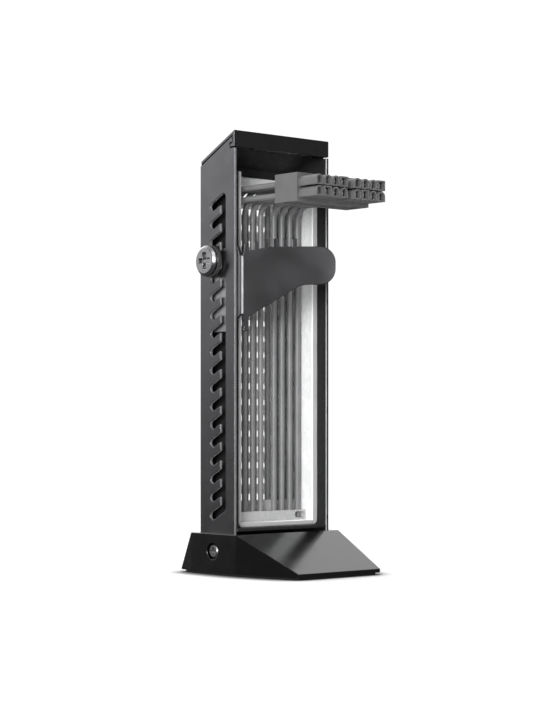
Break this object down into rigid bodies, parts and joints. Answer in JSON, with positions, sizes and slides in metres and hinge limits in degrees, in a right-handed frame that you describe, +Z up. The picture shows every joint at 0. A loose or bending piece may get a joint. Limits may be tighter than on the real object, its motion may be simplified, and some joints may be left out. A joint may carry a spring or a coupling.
{
  "type": "graphics card support bracket",
  "caption": "Free-standing tower on a wedge base with a height-stepped support arm for a graphics card and a tray inside that carries its power leads to plugs ahead of it.",
  "frame": {"origin": "centre of the base's underside, on the surface it stands on", "axes": "+Z up the tower, -Y out of the open front, +X to the right seen from the front"},
  "size_m": [0.0561, 0.068, 0.1708],
  "materials": {
    "black_sheet": "satin black",
    "light_moulding": "light translucent",
    "plug_plastic": "moulded grey",
    "contact_metal": "tinned",
    "arm_sheet": "satin dark grey",
    "bright_steel": "nickel plated",
    "dark_plastic": "black",
    "base_finish": "gloss black",
    "foot_pad": "black",
    "screw_steel": "blackened",
    "wire_sleeve": "satin grey"
  },
  "bodies": {
    "tower": {"tower_shell": "black_sheet", "cable_tray": "light_moulding", "wire_block": "light_moulding", "plug_left": "plug_plastic", "plug_right": "plug_plastic", "plug_contacts_left": "contact_metal", "plug_contacts_right": "contact_metal", "base": "base_finish", "base_pad": "foot_pad", "base_screw_left": "screw_steel", "base_screw_right": "screw_steel", "wire_front_1": "wire_sleeve", "wire_front_2": "wire_sleeve", "wire_front_3": "wire_sleeve", "wire_front_4": "wire_sleeve", "wire_front_5": "wire_sleeve", "wire_front_6": "wire_sleeve", "wire_front_7": "wire_sleeve", "wire_front_8": "wire_sleeve", "wire_rear_1": "wire_sleeve", "wire_rear_2": "wire_sleeve", "wire_rear_3": "wire_sleeve", "wire_rear_4": "wire_sleeve", "wire_rear_5": "wire_sleeve", "wire_rear_6": "wire_sleeve", "wire_rear_7": "wire_sleeve", "wire_rear_8": "wire_sleeve"},
    "arm": {"support_arm": "arm_sheet", "clamp_nut": "bright_steel"},
    "screw": {"thumbscrew": "bright_steel", "screw_collar": "dark_plastic"}
  },
  "joints": [
    {"name": "arm_release", "type": "slide", "parent": "tower", "child": "arm", "axis": [0, -0.8852, 0.4651], "range_m": [0, 0.00666]},
    {"name": "thumbscrew_turn", "type": "hinge", "parent": "arm", "child": "screw", "pos_m": [-0.02755, 0.01345, 0.1211], "axis": [1, 0, 0], "continuous": true}
  ]
}
